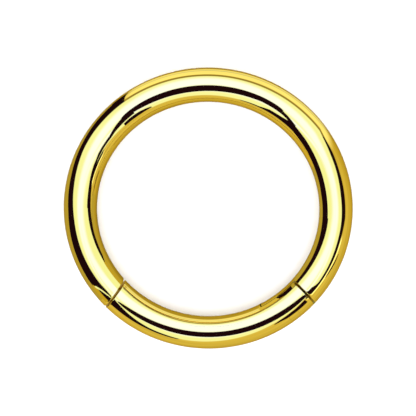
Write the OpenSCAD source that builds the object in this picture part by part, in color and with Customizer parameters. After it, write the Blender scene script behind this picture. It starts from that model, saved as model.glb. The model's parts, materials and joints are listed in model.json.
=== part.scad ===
/* [Ring] */
// Diameter of the round wire, 16 gauge
wire_d = 1.2; // [1.2:0.05:1.3]
// Clear diameter inside the closed ring
inner_d = 8; // [8:0.5:12]

/* [Hinged segment] */
// Angle of the ring that the segment takes up
segment_span = 97; // [90:1:104]
// Gap between the end faces in the middle of each seam
seam_gap = 0.06; // [0.04:0.005:0.07]
// Slant of the hinge seam, which turns its outer end towards the segment
hinge_slant = 6; // [4:1:10]
// Lean of the hinge seam, which takes its upper edge away from the segment
hinge_lean = 12; // [0:1:14]
// Slant of the main arc's face at the clasp seam, outer end towards the segment
clasp_slant = 12; // [6:1:14]
// Angle by which the clasp seam opens towards its inner edge
clasp_wedge = 2; // [0:0.5:2.5]

/* [Hinge] */
// Diameter of the hinge pin
pin_d = 0.42; // [0.36:0.02:0.44]
// Distance along the wire from the hinge seam to the pin
pin_from_seam = 0.74; // [0.72:0.02:0.8]
// Distance of the pin outside the centreline of the wire
pin_offset = 0.3; // [0.28:0.01:0.32]
// Thickness of the main arc's leaf, which turns between the segment's two cheeks
leaf_t = 0.34; // [0.3:0.02:0.4]
// Gap between the leaf's nose and the end of the slot between the cheeks
nose_gap = 0.04; // [0.03:0.01:0.06]
// Running clearance on each side of the leaf, and round the pin in the leaf's bore
hinge_clear = 0.03; // [0.02:0.01:0.04]
// Clearance round the pin where the cheeks hold it
pin_seat_clear = 0.01; // [0.01:0.005:0.02]
// Depth of the slot between the cheeks, past the middle of the pin
slot_past_pin = 0.8; // [0.76:0.02:0.9]

/* [Clasp] */
// Thickness of the tab on the segment's free end
tab_t = 0.3; // [0.24:0.02:0.36]
// Width of the tab across the wire
tab_w = 0.5; // [0.4:0.05:0.6]
// Length of the tab past the middle of the clasp seam
tab_l = 0.34; // [0.32:0.02:0.4]
// Clearance round the tab in its keyway
tab_clear = 0.03; // [0.02:0.01:0.05]

/* [Hidden] */
$fn = 96;
gold = "#dcb53c";
pin_gold = "#c39a2c";
wire_r = wire_d / 2;
// Radius of the wire's centreline, which lies flat at height wire_r
ring_r = inner_d / 2 + wire_r;
// The segment is centred on -Y, with the hinge seam on its +X side and the clasp on its -X side
hinge_angle = -90 + segment_span / 2;
clasp_angle = -90 - segment_span / 2;
// Direction of the pin from the ring's centre, and its distance from there
pin_angle = hinge_angle - pin_from_seam / ring_r * 180 / PI;
pin_r = ring_r + pin_offset;
// Width of the slot between the cheeks, and of the keyway for the tab
slot_w = leaf_t + 2 * hinge_clear;
keyway_w = tab_t + 2 * tab_clear;
// Distance from the pin's axis to the end of the leaf's nose
nose_r = slot_past_pin - nose_gap;
// Where the pin lies from the middle of the hinge seam, out of the ring and along the wire
pin_out = pin_r * cos(hinge_angle - pin_angle) - ring_r;
pin_along = pin_r * sin(hinge_angle - pin_angle);
// Distance from the pin's axis to the segment's end face, halfway up the wire
heel_r = pin_along * cos(hinge_slant) - pin_out * sin(hinge_slant) - seam_gap / 2;
// Rise of that distance with each millimetre of height
heel_rise = tan(hinge_lean);
// A length past everything on the ring, and one past everything in the wire
far = 3 * ring_r;
near = 2 * wire_d;

// The round wire, bent into a whole closed ring
module closed_ring() {
    translate([0, 0, wire_r])
        rotate_extrude()
            translate([ring_r, 0])
                circle(r = wire_r);
}

// The frame of the wire at an angle round the ring: X points out of the ring,
// Y runs anticlockwise along the wire and Z is up
module on_wire(angle, distance = ring_r) {
    rotate([0, 0, angle])
        translate([distance, 0, wire_r])
            children();
}

// All that lies past the hinge seam on the segment's side, from a distance off the seam
module past_hinge_seam(off) {
    on_wire(hinge_angle)
        rotate([0, 0, -hinge_slant])
            translate([0, -off, 0])
                rotate([-hinge_lean, 0, 0])
                    translate([-far, -2 * far, -far])
                        cube(2 * far);
}

// All that lies past the clasp seam on the segment's side, from a distance off the seam
module past_clasp_seam(off, slant) {
    on_wire(clasp_angle)
        rotate([0, 0, slant])
            translate([-far, off, -far])
                cube(2 * far);
}

// A level slab in the middle of the wire, from a Y on the wire's frame towards +Y
module mid_slab(from_y, from_x, thickness) {
    translate([from_x, from_y, -thickness / 2])
        cube([2 * near, 2 * near, thickness]);
}

// The main arc's leaf, still with square sides: a slab from the pin to the arc, and a nose that
// nearly fills the slot, square inside the pin and round about it outside
module leaf_outline() {
    on_wire(pin_angle) {
        mid_slab(0, -near, leaf_t);
        translate([-near, -nose_r, -leaf_t / 2])
            cube([near + pin_offset, 2 * nose_r, leaf_t]);
        translate([pin_offset, 0, -leaf_t / 2])
            cylinder(h = leaf_t, r = nose_r);
    }
}

// A hole along the hinge pin, right through the wire
module pin_hole(clearance) {
    on_wire(pin_angle, pin_r)
        translate([0, 0, -near])
            cylinder(h = 2 * near, r = pin_d / 2 + clearance);
}

// The corner of the cheeks outside the pin, which would meet the main arc as the segment
// opens: what lies further from the pin than the end face does
module heel_corner() {
    on_wire(pin_angle, pin_r)
        rotate([0, 0, hinge_angle - hinge_slant - pin_angle])
            translate([0, 0, -wire_d])
                difference() {
                    cube([near, near, 2 * wire_d]);
                    cylinder(h = 2 * wire_d, r1 = heel_r - wire_d * heel_rise,
                        r2 = heel_r + wire_d * heel_rise);
                }
}

// The tab that keys the segment's free end into the main arc, with a round tip
module clasp_tab() {
    on_wire(clasp_angle)
        translate([0, 0, -tab_t / 2]) {
            translate([-tab_w / 2, tab_w / 2 - tab_l, 0])
                cube([tab_w, wire_d, tab_t]);
            translate([0, tab_w / 2 - tab_l, 0])
                cylinder(h = tab_t, r = tab_w / 2);
        }
}

// The keyway that takes the tab, open to the outside of the ring so that the tab swings out
module clasp_keyway() {
    on_wire(clasp_angle)
        mid_slab(-tab_l - tab_clear, -tab_w / 2 - tab_clear, keyway_w);
}

// The fixed part of the ring, ending in the leaf at the hinge and the keyway at the clasp
module main_arc() {
    color(gold)
        difference() {
            closed_ring();
            difference() {
                intersection() {
                    past_hinge_seam(-seam_gap / 2);
                    past_clasp_seam(-seam_gap / 2, clasp_slant);
                }
                leaf_outline();
            }
            pin_hole(hinge_clear);
            clasp_keyway();
        }
}

// The segment that swings open, with two cheeks at the hinge and the tab at the clasp
module hinged_segment() {
    color(gold)
        difference() {
            intersection() {
                closed_ring();
                union() {
                    intersection() {
                        past_hinge_seam(seam_gap / 2);
                        past_clasp_seam(seam_gap / 2, clasp_slant - clasp_wedge);
                    }
                    clasp_tab();
                }
            }
            on_wire(pin_angle)
                mid_slab(-slot_past_pin, -near, slot_w);
            heel_corner();
            pin_hole(pin_seat_clear);
        }
}

// The pin across the cheeks and the leaf, dressed flush with the round of the wire
module hinge_pin() {
    color(pin_gold)
        intersection() {
            closed_ring();
            on_wire(pin_angle, pin_r)
                translate([0, 0, -near])
                    cylinder(h = 2 * near, r = pin_d / 2);
        }
}

main_arc();
hinged_segment();
hinge_pin();
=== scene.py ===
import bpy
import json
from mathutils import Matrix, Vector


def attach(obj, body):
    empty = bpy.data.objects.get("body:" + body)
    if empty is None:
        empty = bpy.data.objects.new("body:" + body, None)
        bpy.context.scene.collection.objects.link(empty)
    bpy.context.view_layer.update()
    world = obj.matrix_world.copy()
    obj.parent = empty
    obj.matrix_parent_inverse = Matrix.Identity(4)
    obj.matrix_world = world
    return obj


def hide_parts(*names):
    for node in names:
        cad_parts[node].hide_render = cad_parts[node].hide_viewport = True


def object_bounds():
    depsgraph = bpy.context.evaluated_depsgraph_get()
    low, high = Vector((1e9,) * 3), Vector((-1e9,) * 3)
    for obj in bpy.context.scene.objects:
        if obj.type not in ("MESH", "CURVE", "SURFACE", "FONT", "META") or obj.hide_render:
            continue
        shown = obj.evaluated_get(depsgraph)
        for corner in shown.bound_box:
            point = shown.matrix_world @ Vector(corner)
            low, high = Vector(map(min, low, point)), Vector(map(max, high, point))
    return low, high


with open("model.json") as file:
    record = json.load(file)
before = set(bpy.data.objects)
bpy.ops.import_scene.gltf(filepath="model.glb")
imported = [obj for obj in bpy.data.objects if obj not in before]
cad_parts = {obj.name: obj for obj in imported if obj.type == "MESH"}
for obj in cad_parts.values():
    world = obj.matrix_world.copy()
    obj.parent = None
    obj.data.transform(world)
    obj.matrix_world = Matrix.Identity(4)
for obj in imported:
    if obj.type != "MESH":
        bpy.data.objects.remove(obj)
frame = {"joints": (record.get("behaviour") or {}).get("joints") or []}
cad_box = [list(corner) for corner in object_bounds()]

import json
import math
import bpy
from mathutils import Matrix, Vector

# The view: the closed ring lies flat and is seen steeply from above, with the hinged segment at the
# bottom of the picture. The angles and the distance come from how the inner and outer outlines of
# the wire lie to each other in the photo.
mm = 0.001
scene = bpy.context.scene
wire_r = (cad_box[1][2] - cad_box[0][2]) / 2
ring_r = (cad_box[1][0] - cad_box[0][0]) / 2 - wire_r
ring_centre = Vector((0, 0, wire_r))
# How far the camera leans from upright, to which side, how far it is rolled, and its distance
camera_lean = math.radians(14.48)
camera_side = math.radians(85.93)
camera_roll = math.radians(3.52)
camera_reach = 45.86 * mm
flat_side = Vector((math.cos(camera_side), math.sin(camera_side), 0))
to_camera = math.sin(camera_lean) * flat_side + Vector((0, 0, math.cos(camera_lean)))
picture_up = (flat_side - flat_side.dot(to_camera) * to_camera).normalized()
picture_up = Matrix.Rotation(camera_roll, 3, to_camera) @ picture_up
picture_right = picture_up.cross(to_camera)
camera_turn = Matrix((picture_right, picture_up, to_camera)).transposed().to_4x4()
camera = bpy.data.objects.new("camera", bpy.data.cameras.new("camera"))
camera.matrix_world = Matrix.Translation(ring_centre + camera_reach * to_camera) @ camera_turn
camera.data.lens = 110.28
camera.data.sensor_width = 36
camera.data.shift_y = 0.0087
camera.data.clip_start = 1 * mm
camera.data.clip_end = 2
scene.collection.objects.link(camera)
scene.camera = camera
scene.view_settings.view_transform = "Standard"

# The main arc: round surgical steel wire, about 263 degrees of the ring, bent, polished to a mirror
# and coated gold. Polishing has rounded the edges of its ends. At the hinge it is milled down to a
# flat leaf with a bore, and at the clasp a keyway is cut into it from outside.

# Flat sides round the wire, the turn from one row of them to the next, and steps of a rounded edge
wire_sides = 128
row_turn = math.radians(1)
round_steps = 6
# A length past everything in the wire
beyond = 2.4 * mm
# The seams: where they cross the wire, their gap, and the slant and lean of their faces
segment_span = math.radians(97)
hinge_at = -math.pi / 2 + segment_span / 2
clasp_at = -math.pi / 2 - segment_span / 2
seam_gap = 0.06 * mm
hinge_slant = math.radians(6)
hinge_lean = math.radians(12)
arc_clasp_slant = math.radians(12)
end_round = 0.03 * mm
# The leaf, which turns about the pin: its thickness, how far it lies within the wire's skin, how
# far it runs into the arc and past the pin, and the radius of its nose and of its bore
pin_place = Vector(frame["joints"][0]["pos_m"])
pin_at = math.atan2(pin_place.y, pin_place.x)
leaf_t = 0.34 * mm
leaf_inset = 0.002 * mm
leaf_root = 0.4 * mm
leaf_past_pin = math.radians(12)
nose_r = 0.76 * mm
nose_steps = 24
leaf_bore_r = 0.24 * mm
# The keyway: its height, how far it goes in from the wire's middle, and its depth from the seam
keyway_w = 0.36 * mm
keyway_inside = 0.28 * mm
keyway_deep = 0.37 * mm
# How far a milled face may lean, and be off a bore's radius, to count as the wall of that bore
wall_slope = 0.01
bore_fit = 0.02
# The colour of the polished and of the milled gold: lightest, deepest and at grazing angles
gold_light = (0.82, 0.58, 0.056, 1)
gold_deep = (0.77, 0.53, 0.044, 1)
gold_grazing = (0.78, 0.72, 0.55, 1)
# The milled colours are deeper partly because the faces are milled and partly as painted shade, which
# darkens the seam gaps, the slot, the keyway and the bores.
milled_light_with_painted_shade = (0.60, 0.40, 0.024, 1)
milled_deep_with_painted_shade = (0.42, 0.27, 0.018, 1)
milled_grazing = (0.85, 0.68, 0.25, 1)
# Length and width of the polish's waver, of its marks and of its patches of deeper tone
waver_size = (1.6 * mm, 0.7 * mm)
mark_size = (0.9 * mm, 0.018 * mm)
patch_size = (2.5 * mm, 0.5 * mm)
# Depth of the relief in both finishes, and the shares of it that the waver, marks and lines take
polish_relief = 0.002 * mm
milled_relief = 0.0003 * mm
waver_share = 0.9
mark_share = 0.02
line_share = 0.4
# Least and most roughness of both finishes
polished_rough = (0.02, 0.07)
milled_rough = (0.11, 0.19)
# Scale of the cutter's lines and of the grain between them
line_scale = 9000.0
grain_scale = 6000.0


class Value:
    """One output of a shader node. A sum with other outputs or numbers adds Math nodes."""

    def __init__(self, tree, socket=None):
        self.tree = tree
        self.socket = socket

    def node(self, kind, settings=None, inputs=None, output=0):
        """Adds a node, with its settings first and then its inputs, and gives one of its outputs."""
        made = self.tree.nodes.new(kind)
        for name, value in (settings or {}).items():
            if name == "stops":
                ramp = made.color_ramp
                while len(ramp.elements) < len(value):
                    ramp.elements.new(0.5)
                for stop, (place, colour) in zip(ramp.elements, value):
                    stop.position = place
                    stop.color = colour
            else:
                setattr(made, name, value)
        for name, value in (inputs or {}).items():
            if isinstance(value, Value):
                self.tree.links.new(value.socket, made.inputs[name])
            else:
                made.inputs[name].default_value = value
        return Value(self.tree, made.outputs[output]) if made.outputs else None

    def math(self, operation, *others):
        """This value taken through a Math node, with others where it needs them."""
        return self.node("ShaderNodeMath", {"operation": operation}, dict(enumerate((self, *others))))

    def __add__(self, other):
        return self.math("ADD", other)

    __radd__ = __add__

    def __mul__(self, other):
        return self.math("MULTIPLY", other)

    __rmul__ = __mul__

    def __sub__(self, other):
        return self.math("SUBTRACT", other)

    def __rsub__(self, other):
        return self * -1 + other

    def __truediv__(self, other):
        return self.math("DIVIDE", other)

    def __pow__(self, other):
        return self.math("POWER", other)

    def between(self, low, high):
        """This value, from 0 to 1, spread over a range."""
        return self * (high - low) + low

    def times(self, vector):
        """A colour or vector scaled by this value."""
        return self.node("ShaderNodeVectorMath", {"operation": "SCALE"}, {0: vector, "Scale": self})

    def plus(self, vector):
        """The sum of two colours or vectors."""
        return self.node("ShaderNodeVectorMath", {"operation": "ADD"}, {0: self, 1: vector})

    def part(self, name):
        """One coordinate of a vector."""
        return self.node("ShaderNodeSeparateXYZ", {}, {"Vector": self}, name)

    def mixed(self, first, second):
        """A colour between two others, with this value as the share of the second."""
        return self.node("ShaderNodeMix", {"data_type": "RGBA"}, {0: self, 6: first, 7: second}, 2)


def along_wire(shade):
    """The place on the wire: how far round the ring from opposite the clasp, where the two ways round
    meet, and how far round the wire from its top."""
    place = shade.node("ShaderNodeTexCoord", output="Object")
    across = (place.part("X") ** 2 + place.part("Y") ** 2) ** 0.5 - ring_r
    height = place.part("Z") - wire_r
    facing_x, facing_y = -math.cos(clasp_at), -math.sin(clasp_at)
    ahead = place.part("X") * facing_x + place.part("Y") * facing_y
    aside = place.part("Y") * facing_x - place.part("X") * facing_y
    return aside.math("ARCTAN2", ahead) * ring_r, across.math("ARCTAN2", height) * wire_r


def streaks(shade, lengthwise, crosswise, size, detail):
    """Noise drawn out along the wire, with streaks of about one length and width."""
    length, width = size
    noise_level = 0.37
    vector = shade.node("ShaderNodeCombineXYZ", {},
                        {"X": lengthwise / length, "Y": crosswise / width, "Z": noise_level})
    return shade.node("ShaderNodeTexNoise", {}, {"Vector": vector, "Scale": 1.0, "Detail": detail})


def polished(shade):
    """Mirror gold with faint lengthwise polishing marks, a slight waver and a deeper tone in places."""
    lengthwise, crosswise = along_wire(shade)
    waver = streaks(shade, lengthwise, crosswise, waver_size, 1.0)
    marks = streaks(shade, lengthwise, crosswise, mark_size, 3.0)
    patches = streaks(shade, lengthwise, crosswise, patch_size, 2.0)
    height = waver * waver_share + marks * mark_share
    relief = shade.node("ShaderNodeBump", {}, {"Height": height, "Distance": polish_relief})
    return patches.mixed(gold_deep, gold_light), marks.between(*polished_rough), relief


def milled(shade):
    """Milled steel under the same gold coating: less polished, with the lines of the cutter, and deeper in
    colour, partly as painted shade in the seam gaps and cut hollows.
    """
    place = shade.node("ShaderNodeTexCoord", output="Object")
    lines = shade.node("ShaderNodeTexWave", {"bands_direction": "DIAGONAL"},
                       {"Vector": place, "Scale": line_scale, "Distortion": 1.5, "Detail": 1.0})
    grain = shade.node("ShaderNodeTexNoise", {}, {"Vector": place, "Scale": grain_scale, "Detail": 2.0})
    height = lines * line_share + grain
    relief = shade.node("ShaderNodeBump", {}, {"Height": height, "Distance": milled_relief})
    return grain.mixed(milled_deep_with_painted_shade, milled_light_with_painted_shade), grain.between(*milled_rough), relief


def gold(name, finish, grazing):
    """Gold with the colour, roughness and relief of a finish, and its tint at grazing angles."""
    material = bpy.data.materials.new(name)
    material.use_nodes = True
    shader = material.node_tree.nodes["Principled BSDF"]
    surface = finish(Value(material.node_tree))
    for socket, value in zip(("Base Color", "Roughness", "Normal"), surface):
        material.node_tree.links.new(value.socket, shader.inputs[socket])
    shader.inputs["Metallic"].default_value = 1
    shader.inputs["Specular Tint"].default_value = grazing
    return material


gold_finishes = (gold("polished gold", polished, gold_grazing), gold("milled gold with painted shade", milled, milled_grazing))
POLISHED, CUT = 0, 1


def solid(name, points, faces, finishes):
    """An object from points and faces, each face with the number of its finish."""
    mesh = bpy.data.meshes.new(name)
    mesh.from_pydata(points, [], faces)
    for finish in gold_finishes:
        mesh.materials.append(finish)
    mesh.polygons.foreach_set("material_index", finishes)
    mesh.update()
    made = bpy.data.objects.new(name, mesh)
    scene.collection.objects.link(made)
    return made


def stack(name, levels, place=Matrix(), finishes=None):
    """A closed skin over loops of points, one above the other, with a flat face on each end."""
    count = len(levels[0])
    points = [place @ Vector(point) for level in levels for point in level]
    faces = [tuple(reversed(range(count)))]
    for low in range(0, count * (len(levels) - 1), count):
        for side in range(count):
            after = (side + 1) % count
            faces.append((low + side, low + after, low + count + after, low + count + side))
    faces.append(tuple(range(count * (len(levels) - 1), count * len(levels))))
    return solid(name, points, faces, finishes or [CUT] * len(faces))


def slab(outline, thickness):
    """A flat outline as the two loops of a level slab."""
    return [[(x, y, z) for x, y in outline] for z in (-thickness / 2, thickness / 2)]


def box_outline(low_x, high_x, low_y, high_y):
    """The four corners of a rectangle."""
    return [(low_x, low_y), (high_x, low_y), (high_x, high_y), (low_x, high_y)]


def arc_outline(radius, start=0.0, stop=2 * math.pi, steps=72, y=0.0):
    """Points on an arc round a point on the Y axis, without the last one of a whole circle."""
    count = steps if math.isclose(stop - start, 2 * math.pi) else steps + 1
    turns = [start + (stop - start) * step / steps for step in range(count)]
    return [(radius * math.cos(turn), y + radius * math.sin(turn)) for turn in turns]


def on_wire(angle, distance=ring_r):
    """A place on the wire, with X out of the ring, Y anticlockwise along the wire and Z up."""
    return Matrix.Rotation(angle, 4, "Z") @ Matrix.Translation((distance, 0, wire_r))


def end_plane(angle, turned=0, lean=0, off=0):
    """An end face of the wire: a point on it, its direction anticlockwise along the wire, its angle."""
    turn = Matrix.Rotation(angle + turned, 3, "Z")
    middle = on_wire(angle).translation + turn @ Vector((0, off, 0))
    return middle, turn @ Matrix.Rotation(-lean, 3, "X") @ Vector((0, 1, 0)), angle


def turn_to(plane, round_at, radius):
    """How far round the ring a line along the wire meets an end face."""
    point, face, angle = plane
    furthest = (ring_r + radius * math.cos(round_at)) * math.hypot(face.x, face.y)
    level_part = point.dot(face) - (wire_r + radius * math.sin(round_at)) * face.z
    turn = math.atan2(face.y, face.x) - math.acos(level_part / furthest)
    return turn + 2 * math.pi * round((angle - turn) / (2 * math.pi))


def wire_point(turn, round_at, radius):
    """A point in the wire, by its turn round the ring and its turn round the wire from the outside."""
    off_axis = ring_r + radius * math.cos(round_at)
    return off_axis * math.cos(turn), off_axis * math.sin(turn), wire_r + radius * math.sin(round_at)


def wire(name, start, stop, rounding, radius=wire_r):
    """A stretch of wire from one end face anticlockwise to another, with its edges rounded."""
    rows = math.ceil((stop[2] - start[2]) / row_turn)
    bends = [math.pi / 2 * (1 - step / round_steps) for step in range(round_steps + 1)]
    lines = []
    for side in range(wire_sides):
        round_at = 2 * math.pi * side / wire_sides
        ends = []
        for plane, way in ((start, 1), (stop, -1)):
            for bend in bends if rounding else [0]:
                shrunk = radius - rounding * (1 - math.cos(bend))
                run = rounding * (1 - math.sin(bend)) / (ring_r + shrunk * math.cos(round_at))
                ends.append((turn_to(plane, round_at, shrunk) + way * run, round_at, shrunk))
        half = len(ends) // 2
        first, last = ends[half - 1][0], ends[-1][0]
        middle = [(first + (last - first) * row / rows, round_at, radius) for row in range(1, rows)]
        lines.append(ends[:half] + middle + ends[:half - 1:-1])
    points = [wire_point(*line[row]) for row in range(len(lines[0])) for line in lines]
    faces = [tuple(range(wire_sides))]
    for low in range(0, len(points) - wire_sides, wire_sides):
        for side in range(wire_sides):
            after = (side + 1) % wire_sides
            faces.append((low + side, low + wire_sides + side, low + wire_sides + after, low + after))
    faces.append(tuple(reversed(range(len(points) - wire_sides, len(points)))))
    return solid(name, points, faces, [CUT] + [POLISHED] * (len(faces) - 2) + [CUT])


def shape(piece, operation, *tools):
    """Cuts tools from a piece, joins them to it or keeps what it shares with them."""
    for tool in tools:
        modifier = piece.modifiers.new("shape", "BOOLEAN")
        modifier.operation = operation
        modifier.solver = "EXACT"
        modifier.object = tool
    made = bpy.data.meshes.new_from_object(piece.evaluated_get(bpy.context.evaluated_depsgraph_get()))
    piece.modifiers.clear()
    piece.data = made
    for tool in tools:
        bpy.data.objects.remove(tool)


def smooth(piece, ends=(), bores=()):
    """Gives the polished faces the true slope of the round wire and of its rounded edges, and bores
    theirs, so that reflections run over them unbroken. Cut faces stay flat."""
    mesh = piece.data
    slopes = []
    for face in mesh.polygons:
        for loop in face.loop_indices:
            place = mesh.vertices[mesh.loops[loop].vertex_index].co
            slope = face.normal.copy()
            if face.material_index == POLISHED:
                out = Vector((place.x, place.y, 0)).normalized()
                ray = place - ring_r * out - Vector((0, 0, wire_r))
                slope = ray.normalized()
                for (point, direction, angle), way in ends:
                    depth = (place - point).dot(direction) * way
                    bend = math.asin(min(1, max(0, 1 - depth / end_round)))
                    sunk = wire_r - end_round * (1 - math.cos(bend))
                    near_end = depth < end_round and (place - point).length < 2 * wire_r
                    if near_end and abs(ray.length - sunk) < end_round / 4:
                        slope = math.cos(bend) * slope - way * math.sin(bend) * direction
            for middle, radius in bores:
                ray = Vector((place.x - middle.x, place.y - middle.y, 0))
                if face.material_index == CUT and abs(face.normal.z) < wall_slope:
                    if abs(ray.length / radius - 1) < bore_fit:
                        slope = -ray.normalized()
            slopes.append(slope)
    mesh.shade_smooth()
    mesh.normals_split_custom_set(slopes)


arc_hinge_end = end_plane(hinge_at, -hinge_slant, hinge_lean, seam_gap / 2)
arc_clasp_end = end_plane(clasp_at + 2 * math.pi, arc_clasp_slant, 0, -seam_gap / 2)
main_arc = wire("main_arc_polished", arc_hinge_end, arc_clasp_end, end_round)
leaf = wire("leaf", end_plane(pin_at - leaf_past_pin), end_plane(hinge_at + leaf_root / ring_r),
            0, wire_r - leaf_inset)
pin_reach = pin_place.to_2d().length
nose = [(x + pin_reach - ring_r, y) for x, y in arc_outline(nose_r, 1.5 * math.pi, 2 * math.pi, nose_steps)]
leaf_outline = [(-beyond, -nose_r)] + nose + [(beyond, 0), (beyond, beyond), (-beyond, beyond)]
shape(leaf, "INTERSECT", stack("leaf_outline", slab(leaf_outline, leaf_t), on_wire(pin_at)))
shape(main_arc, "UNION", leaf)
leaf_bore = stack("leaf_bore", slab(arc_outline(leaf_bore_r), beyond), on_wire(pin_at, pin_reach))
keyway = box_outline(-keyway_inside, beyond, -keyway_deep, beyond)
shape(main_arc, "DIFFERENCE", leaf_bore, stack("keyway", slab(keyway, keyway_w), on_wire(clasp_at)))
smooth(main_arc, [(arc_hinge_end, 1), (arc_clasp_end, -1)], [(pin_place, leaf_bore_r)])
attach(main_arc, "main_arc")
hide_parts("main_arc")

# The hinged segment: the remaining 97 degrees of the same wire, which swings out on the pin. Its
# hinge end is slotted into two cheeks with their outer corner rounded off, and its free end has a
# small round-nosed tab that keys into the arc.
segment_clasp_slant = math.radians(10)
# The slot between the cheeks, their bores, and their rounded heels, which widen upwards
slot_w = 0.40 * mm
slot_past_pin = 0.8 * mm
cheek_bore_r = 0.2125 * mm
heel_r = 0.725 * mm
heel_rise = math.tan(hinge_lean)
heel_steps = 144
# The tab: its thickness, width and length past the seam, how far its root runs into the segment,
# and the bevel of its edges
tab_t = 0.30 * mm
tab_w = 0.50 * mm
tab_l = 0.34 * mm
tab_root = 0.6 * mm
tab_edge = 0.03 * mm
tab_steps = 24

segment_hinge_end = end_plane(hinge_at, -hinge_slant, hinge_lean, -seam_gap / 2)
segment_clasp_end = end_plane(clasp_at, segment_clasp_slant, 0, seam_gap / 2)
segment = wire("hinged_segment_polished", segment_clasp_end, segment_hinge_end, end_round)
tab_levels = []
for height, inset in ((-tab_t / 2, tab_edge), (tab_edge - tab_t / 2, 0),
                      (tab_t / 2 - tab_edge, 0), (tab_t / 2, tab_edge)):
    side = tab_w / 2 - inset
    outline = arc_outline(side, math.pi, 2 * math.pi, tab_steps, tab_w / 2 - tab_l)
    outline += [(side, tab_root), (-side, tab_root)]
    tab_levels.append([(x, y, height) for x, y in outline])
shape(segment, "UNION", stack("tab", tab_levels, on_wire(clasp_at)))
slot = box_outline(-beyond, beyond, -slot_past_pin, beyond)
cheek_bore = stack("cheek_bore", slab(arc_outline(cheek_bore_r), beyond), on_wire(pin_at, pin_reach))
heel_turn = on_wire(pin_at, pin_reach) @ Matrix.Rotation(hinge_at - hinge_slant - pin_at, 4, "Z")
heel = stack("heel", slab(box_outline(0, beyond, 0, beyond), 2 * wire_r + leaf_inset), heel_turn)
heel_cone = [[(x, y, height) for x, y in arc_outline(heel_r + height * heel_rise, steps=heel_steps)]
             for height in (-beyond / 2, beyond / 2)]
shape(heel, "DIFFERENCE", stack("heel_cone", heel_cone, heel_turn))
shape(segment, "DIFFERENCE", stack("slot", slab(slot, slot_w), on_wire(pin_at)), cheek_bore, heel)
smooth(segment, [(segment_hinge_end, -1), (segment_clasp_end, 1)], [(pin_place, cheek_bore_r)])
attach(segment, "segment")
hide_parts("hinged_segment")

# The hinge pin: a short steel pin pressed through both cheeks and the leaf, then dressed flush, so
# that its ends follow the round of the wire, and polished and coated with the ring.
pin_r = 0.21 * mm
pin_edge = 0.004 * mm
pin_sides = 64
# The loops of each end from the middle out: the share of the pin's radius, and how far the loop is
# sunk below the wire's surface as a share of the worn edge
edge_share = pin_edge / pin_r
end_loops = ((0.05, 0), (0.35, 0), (0.7, 0), (1 - edge_share, 0), (1 - 0.3 * edge_share, 0.3))
# The bands of faces, counted from below, that aren't polished: the side and the outermost step of
# the upper edge
turned_bands = (5, 6)


def pin_loop(radius, sunk, way):
    """A loop round the pin, which lies at the wire's surface or is sunk below it."""
    loop = []
    for x, y in arc_outline(radius, steps=pin_sides):
        across = math.hypot(pin_reach + x, y) - ring_r
        loop.append((x, y, way * (math.sqrt(wire_r ** 2 - across ** 2) - sunk)))
    return loop


pin_levels = [pin_loop(pin_r * share, pin_edge * sunk, -1) for share, sunk in end_loops]
pin_levels += [pin_loop(pin_r, pin_edge, way) for way in (-1, 1)]
pin_levels += [pin_loop(pin_r * share, pin_edge * sunk, 1) for share, sunk in reversed(end_loops)]
pin_finishes = [POLISHED]
for band in range(len(pin_levels) - 1):
    pin_finishes += [CUT if band in turned_bands else POLISHED] * pin_sides
pin_finishes.append(POLISHED)
pin = stack("hinge_pin_dressed", pin_levels, on_wire(pin_at, pin_reach), pin_finishes)
smooth(pin)
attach(pin, "segment")
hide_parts("hinge_pin")

# The floor and the surround: a pale matt floor under the ring, and even white light from all round
# it. Neither shows in the polish, which mirrors the tent, cards and cloths below instead.
floor_half = 700 * mm
floor_pale = (0.9, 0.9, 0.9, 1)
floor_rough = 0.9
surround_white = (1, 1, 1, 1)
surround_strength = 1.9

floor = bpy.data.objects.new("floor", bpy.data.meshes.new("floor"))
floor_corners = [(x, y, 0) for x in (-floor_half, floor_half) for y in (-floor_half, floor_half)]
floor.data.from_pydata(floor_corners, [], [(0, 2, 3, 1)])
floor_paint = bpy.data.materials.new("pale floor")
floor_paint.use_nodes = True
paint = floor_paint.node_tree.nodes["Principled BSDF"]
paint.inputs["Base Color"].default_value = floor_pale
paint.inputs["Roughness"].default_value = floor_rough
floor.data.materials.append(floor_paint)
scene.collection.objects.link(floor)
floor.visible_glossy = False

surround = bpy.data.worlds.new("surround")
surround.use_nodes = True
background = surround.node_tree.nodes["Background"]
background.inputs["Color"].default_value = surround_white
background.inputs["Strength"].default_value = surround_strength
scene.world = surround
surround.cycles_visibility.glossy = False

# The tent: pale warm cloth, tall and narrow, hung round the ring with a big cool softbox and black
# cards in it, which give the bands in the gold. Only the polish shows it. What hangs in it is drawn
# on a chart of the directions seen from the ring. Level gold shows the camera about its middle.
tent_size = Vector((12.5, 15, 60)) * mm
tent_sides = 128
tent_rings = 64
# The direction at the chart's middle, in degrees from straight up. The reaches below are in degrees
# from that middle, and the turns in degrees round it, anticlockwise from +X.
middle_x = -1.2
middle_y = -14.2
# Keeps the direction straight up from a division by zero
not_zero = 1e-6
# Turns round the middle, and how far the softbox and the black card behind it reach from it there
outlines = ((0, 48.5, 71), (10, 50, 73.5), (20, 59, 76), (28, 66, 82), (33, 74, 84), (36, 80, 84),
            (38, 86, 0), (90, 88, 0), (123, 90, 0), (125, 91, 134), (142, 89, 134), (150, 85, 134),
            (165, 66, 132), (180, 48.5, 130), (195, 38.5, 122), (210, 25.5, 106), (216, 15, 82),
            (222, 18, 62), (230, 31, 58), (236, 38, 56), (242, 42, 54), (250, 43, 53), (257, 46, 51),
            (259, 46, 0), (272, 42, 0), (319, 30, 0), (321, 30, 42), (328, 32, 47), (336, 36, 51),
            (345, 39, 57), (352, 43, 61), (360, 48.5, 71))
# The widest reach that the outlines can take, and the soft border of softbox and card
widest = 150
edge_soft = 2.5
# The softbox's bluer core: its place and half its width as shares of the softbox's reach
core_at = 0.6
core_half = 0.28
core_soft = 24
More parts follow.
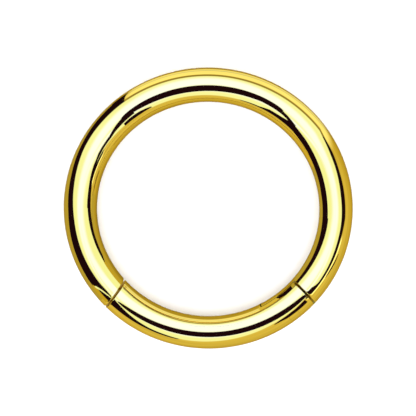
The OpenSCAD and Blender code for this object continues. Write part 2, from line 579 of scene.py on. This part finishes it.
# The dimmer window past the softbox: the turn of its middle, half its width, the gap that parts it
# from the softbox, how far it reaches, and its share of the softbox's light
window_turn = 78
window_half = 47
window_ends_soft = 8
window_gap = 10
window_edge = 140
window_soft = 14
window_share = 0.48
# The trims of the cloth, which darken it: one in that gap, and one between two reaches
trim_inner = 119
trim_outer = 127
trim_soft = 4
trim_dark = 0.55
# The bright slit past the edge of the black card
slit_turn = 336
slit_half = 15
slit_ends_soft = 4
slit_width = 6
slit_soft = 3
slit_share = 0.9
# The folds of the cloth, its slow change of tone across the chart, and how it dims and warms lower down
fold_width = 8
fold_length = 60
fold_depth = 0.6
tone_slope = 0.0006
dim_from = 135
dim_soft = 40
dimmest = 0.7
warm_from = 95
warm_soft = 60
# The light that each gives off. The black isn't quite black.
cloth_light = (0.87, 0.84, 0.86)
low_cloth_light = (0.70, 0.62, 0.26)
softbox_light = (1.19, 1.66, 5.9)
core_light = (0.1, 0.2, 10.0)
black_card_light = (0.014, 0.004, 0.05)


def bare_material(name):
    """A material with no nodes yet, and the first value of its node tree."""
    material = bpy.data.materials.new(name)
    material.use_nodes = True
    material.node_tree.nodes.clear()
    return material, Value(material.node_tree)


def glowing(material, shade, light):
    """The material, made to give off light of one colour, or of one that changes over it."""
    shine = shade.node("ShaderNodeEmission", {}, {"Color": light})
    shade.node("ShaderNodeOutputMaterial", {}, {"Surface": shine})
    return material


def inside(reach, edge, soft):
    """1 where a reach is within an edge, 0 past it, with a soft border."""
    return reach.node("ShaderNodeMapRange", {"interpolation_type": "SMOOTHSTEP"},
                      {0: reach - edge, 1: -soft / 2, 2: soft / 2, 3: 1.0, 4: 0.0})


def only_in_polish(thing):
    """Keeps a thing of the studio out of all but the reflections."""
    thing.visible_camera = False
    thing.visible_diffuse = False
    thing.visible_shadow = False
    thing.visible_transmission = False


tent_cloth, cloth = bare_material("tent cloth")
hung_at = cloth.node("ShaderNodeTexCoord", output="Object")
facing = cloth.node("ShaderNodeVectorMath", {"operation": "NORMALIZE"}, {0: hung_at})
from_upright = facing.part("Z").math("ARCCOSINE") * math.degrees(1)
flat = (facing.part("X") ** 2 + facing.part("Y") ** 2) ** 0.5 + not_zero
chart_x = from_upright * facing.part("X") / flat - middle_x
chart_y = from_upright * facing.part("Y") / flat - middle_y
off_middle = (chart_x ** 2 + chart_y ** 2) ** 0.5
spoke = (chart_y.math("ARCTAN2", chart_x) / (2 * math.pi)).math("WRAP", 1, 0)
stops = [(turn / 360, (box_reach / widest, card_reach / widest, 0, 1))
         for turn, box_reach, card_reach in outlines]
edges = cloth.node("ShaderNodeValToRGB", {"stops": stops}, {"Fac": spoke})
softbox_edge = edges.part("X") * widest
card_edge = edges.part("Y") * widest
softbox = inside(off_middle, softbox_edge, edge_soft)
card = inside(off_middle, card_edge, edge_soft)
upward = (chart_y / off_middle + 1) / 2
off_core = (off_middle - softbox_edge * upward * upward * core_at).math("ABSOLUTE")
core = inside(off_core, softbox_edge * core_half, core_soft)
window_ends = inside((spoke * 360 - window_turn).math("ABSOLUTE"), window_half, window_ends_soft)
gap = inside(off_middle, softbox_edge + window_gap, trim_soft)
window = window_ends * inside(off_middle, window_edge, window_soft) * (1 - gap)
outer_trim = inside(off_middle, trim_outer, trim_soft) - inside(off_middle, trim_inner, trim_soft)
trim = window_ends * (gap + outer_trim)
slit_ends = inside((spoke * 360 - slit_turn).math("ABSOLUTE"), slit_half, slit_ends_soft)
slit = slit_ends * inside(off_middle, card_edge + slit_width, slit_soft)
fold_at = cloth.node("ShaderNodeCombineXYZ", {}, {"X": off_middle / fold_width,
                                                  "Y": chart_x / fold_length,
                                                  "Z": chart_y / fold_length})
folds = cloth.node("ShaderNodeTexNoise", {}, {"Vector": fold_at, "Scale": 1.0, "Detail": 1.0}) - 0.5
tone = 1 + chart_y * tone_slope - chart_x * tone_slope + folds * fold_depth
tone = tone * (1 - trim * trim_dark) * (1 - card)
tone = tone * inside(off_middle, dim_from, dim_soft).between(dimmest, 1)
overhead = inside(off_middle, warm_from, warm_soft)
cloth_colour = overhead.mixed(low_cloth_light + (1,), cloth_light + (1,))
past_card = (window * window_share + slit * slit_share) * (1 - card)
glow = (tone * (1 - softbox)).times(cloth_colour).plus(past_card.times(softbox_light))
glow = glow.plus(softbox.times(softbox_light)).plus((softbox * core).times(core_light))
glow = glow.plus(black_card_light)
glowing(tent_cloth, cloth, glow)
tent_cloth.cycles.emission_sampling = "NONE"
bpy.ops.mesh.primitive_uv_sphere_add(segments=tent_sides, ring_count=tent_rings)
tent = bpy.context.object
tent.name = "tent"
tent.data.transform(Matrix.Diagonal(tent_size).to_4x4())
tent.location = ring_centre
tent.data.shade_smooth()
tent.data.materials.append(tent_cloth)
only_in_polish(tent)

# The black ovals: two black cards close above the ring, which give the long black crescents in its
# polish. Each is tilted to lie edge on to the far side of the ring.

# Centre and half widths in millimetres, and tilt in degrees
ovals = (((0.42, -4.4, 4.61), (4.0, 1.25), -22), ((-0.35, 3.62, 6.11), (3.5, 2.05), 34))

black_card = glowing(*bare_material("black card"), black_card_light + (1,))
for middle, (half_x, half_y), tilt in ovals:
    oval = bpy.data.objects.new("black oval", bpy.data.meshes.new("black oval"))
    rim = [(x * half_x * mm, y * half_y * mm, 0) for x, y in arc_outline(1)]
    oval.data.from_pydata(rim, [], [range(len(rim))])
    oval.location = Vector(middle) * mm
    oval.rotation_euler.x = math.radians(tilt)
    oval.data.materials.append(black_card)
    scene.collection.objects.link(oval)
    only_in_polish(oval)

# The collars: two low bands of pale cloth that stand round the ring, one close outside its left side
# in the picture and one within its right side. The steep sides of the wire mirror them.
near_cloth_light = (0.60, 0.575, 0.53)
# The distance from the ring's centre, and at turns round the ring, in degrees anticlockwise from +X,
# the heights of the lower and the upper edge, all in millimetres
collars = (
    (5.5, ((131, -0.1, 0.52), (135, -0.1, 0.56), (150, -0.1, 0.70), (165, -0.1, 0.93),
           (180, -0.1, 1.10), (195, -0.1, 1.07), (210, -0.1, 1.10), (220, -0.1, 1.28))),
    (2.85, ((-48, -2, 1.02), (-30, -2, 1.02), (-15, -2, 1.02), (0, -2, 1.02), (18, -2, 1.02))))


def even_cloth(name, light):
    """Cloth that glows evenly and that the renderer doesn't take for a lamp."""
    woven = glowing(*bare_material(name), light + (1,))
    woven.cycles.emission_sampling = "NONE"
    return woven


def strip(name, pairs, material):
    """A strip between pairs of points, seen only in the polish."""
    hung = bpy.data.objects.new(name, bpy.data.meshes.new(name))
    rim = [point for pair in pairs for point in pair]
    faces = [(step, step + 2, step + 3, step + 1) for step in range(0, len(rim) - 2, 2)]
    hung.data.from_pydata(rim, [], faces)
    hung.data.materials.append(material)
    scene.collection.objects.link(hung)
    only_in_polish(hung)


def round_ring(turn, away, height):
    """The place at a turn round the ring, a distance from its centre and a height."""
    return Matrix.Rotation(math.radians(turn), 3, "Z") @ Vector((away, 0, height)) * mm


near_cloth = even_cloth("near cloth", near_cloth_light)
for away, rows in collars:
    pairs = [[round_ring(turn, away, height) for height in (low, high)] for turn, low, high in rows]
    strip("collar", pairs, near_cloth)

# The flags: small strips of black card and of pale cloth, about half a millimetre off the wire. They
# stand where the camera sees them mirrored, and give the bands their edges and the short streaks.

# The distance from the wire in millimetres, the cloth, and at turns round the ring in degrees the
# part of the wire that shows the flag, in degrees round the wire from its outside over its top
flags = (
    (0.5, "black", ((66, 119, 121), (60, 111, 119), (54, 110, 121), (51, 107, 122), (48, 103, 123),
                    (45, 105, 125), (39, 109.5, 130), (33, 114, 133), (27, 117.5, 138), (20, 121, 142),
                    (10, 123.5, 147), (0, 125, 147), (-10, 127.5, 147), (-20, 133, 148),
                    (-24.5, 136, 148.5), (-28.5, 137.5, 150), (-32.5, 138.5, 150.5),
                    (-36.5, 140, 151), (-40.3, 142, 152))),
    (0.5, "black", ((70, 89, 96), (66, 88, 98), (63, 88, 99.5), (60, 87.5, 100), (57.5, 88.5, 100.5),
                    (54.5, 91, 101.5), (51.5, 94, 104), (48.5, 98.5, 108), (46, 102, 110))),
    (0.5, "black", ((124, 87.5, 101), (127.5, 88, 102.5), (130.5, 89, 103.5), (133.5, 92, 105),
                    (136.5, 96, 106.5), (139.5, 101, 109.5), (146, 103, 110.5), (149, 104, 112),
                    (152, 107, 113), (155, 108, 115), (158, 110, 118), (161, 112, 121),
                    (165.5, 115.5, 126.5), (171.5, 118.5, 131), (177.5, 122, 134),
                    (181.5, 124.5, 136.5), (185.5, 127, 138.5), (189.5, 129.5, 140.5),
                    (193.5, 132, 143), (197.5, 134.5, 145), (201.5, 137, 146), (205, 139, 142))),
    (0.5, "black", ((116, 110.5, 114.5), (119, 107.5, 115.5), (122, 105.5, 116.5), (125, 105, 116.5),
                    (128, 105.5, 116.5), (131, 107, 117))),
    (0.5, "black", ((-42.3, 67, 81), (-45, 67, 81), (-48, 68, 80), (-51, 69, 80.5), (-54, 70, 80),
                    (-57, 73.5, 80), (-60, 74.5, 77))),
    (0.5, "black", ((-30, 77, 80), (-33, 77, 83), (-34.5, 77, 86), (-36, 78, 91), (-38, 80, 92.5),
                    (-40.8, 82, 94.5))),
    (0.6, "high", ((-51.5, 146, 168), (-56, 146, 168), (-63, 146, 168))),
    (0.6, "softbox", ((176, 117, 122.5), (181.5, 118, 126), (185.5, 119, 128.5), (189.5, 120, 131),
                      (193.5, 121, 133.5), (197.5, 122, 136), (201.5, 122, 137.5), (205.5, 121, 138),
                      (209.5, 121, 139), (213.5, 121, 140), (217.5, 121, 141), (221, 121, 142))),
    (0.6, "low", ((205, 136, 146), (209.5, 138, 148), (213.5, 140, 150), (217.5, 141, 150),
                  (221, 142, 150))),
    (0.5, "black", ((-42.6, 141.5, 156), (-45, 141.5, 157), (-48, 142, 158), (-50.5, 146, 160),
                    (-52.5, 155, 160))),
    (0.6, "softbox", ((44, 101, 105.5), (39, 102, 109), (33, 103, 112.8), (27, 104, 116.3),
                      (20, 105, 119.5), (14, 109, 121.5), (7, 113, 123), (-2, 118, 123.5))),
    (0.5, "low", ((211.5, 57, 59), (213.4, 52, 66), (215.4, 52, 66), (217.4, 52, 66.5),
                  (219.4, 53, 67), (221, 53, 68))),
    (0.45, "softbox", ((212.5, 60, 66), (213.4, 62, 70.5), (215.4, 72, 77.5), (217.4, 76.5, 81.5),
                       (219.4, 81, 84.5), (221, 83, 85))),
    (0.5, "black", ((-17.5, 60, 62), (-20.5, 60.5, 64.5), (-24.5, 63.5, 69), (-27, 66, 70),
                    (-29, 68.5, 70.5))))


def shown_at(turn, round_at, away):
    """The place that the camera sees mirrored in a spot on the wire, at a distance from it."""
    turn, round_at = math.radians(turn), math.radians(round_at)
    spot = Vector(wire_point(turn, round_at, wire_r))
    slope = (spot - Vector(wire_point(turn, round_at, 0))).normalized()
    to_lens = (camera.location - spot).normalized()
    return spot + away * mm * (2 * slope.dot(to_lens) * slope - to_lens)


flag_cloths = {"black": black_card}
for cloth_name, light in (("low", low_cloth_light), ("high", cloth_light), ("softbox", softbox_light)):
    flag_cloths[cloth_name] = even_cloth(cloth_name + " cloth", light)
for away, cloth_name, rows in flags:
    pairs = [[shown_at(turn, round_at, away) for round_at in (low, high)] for turn, low, high in rows]
    strip("flag", pairs, flag_cloths[cloth_name])
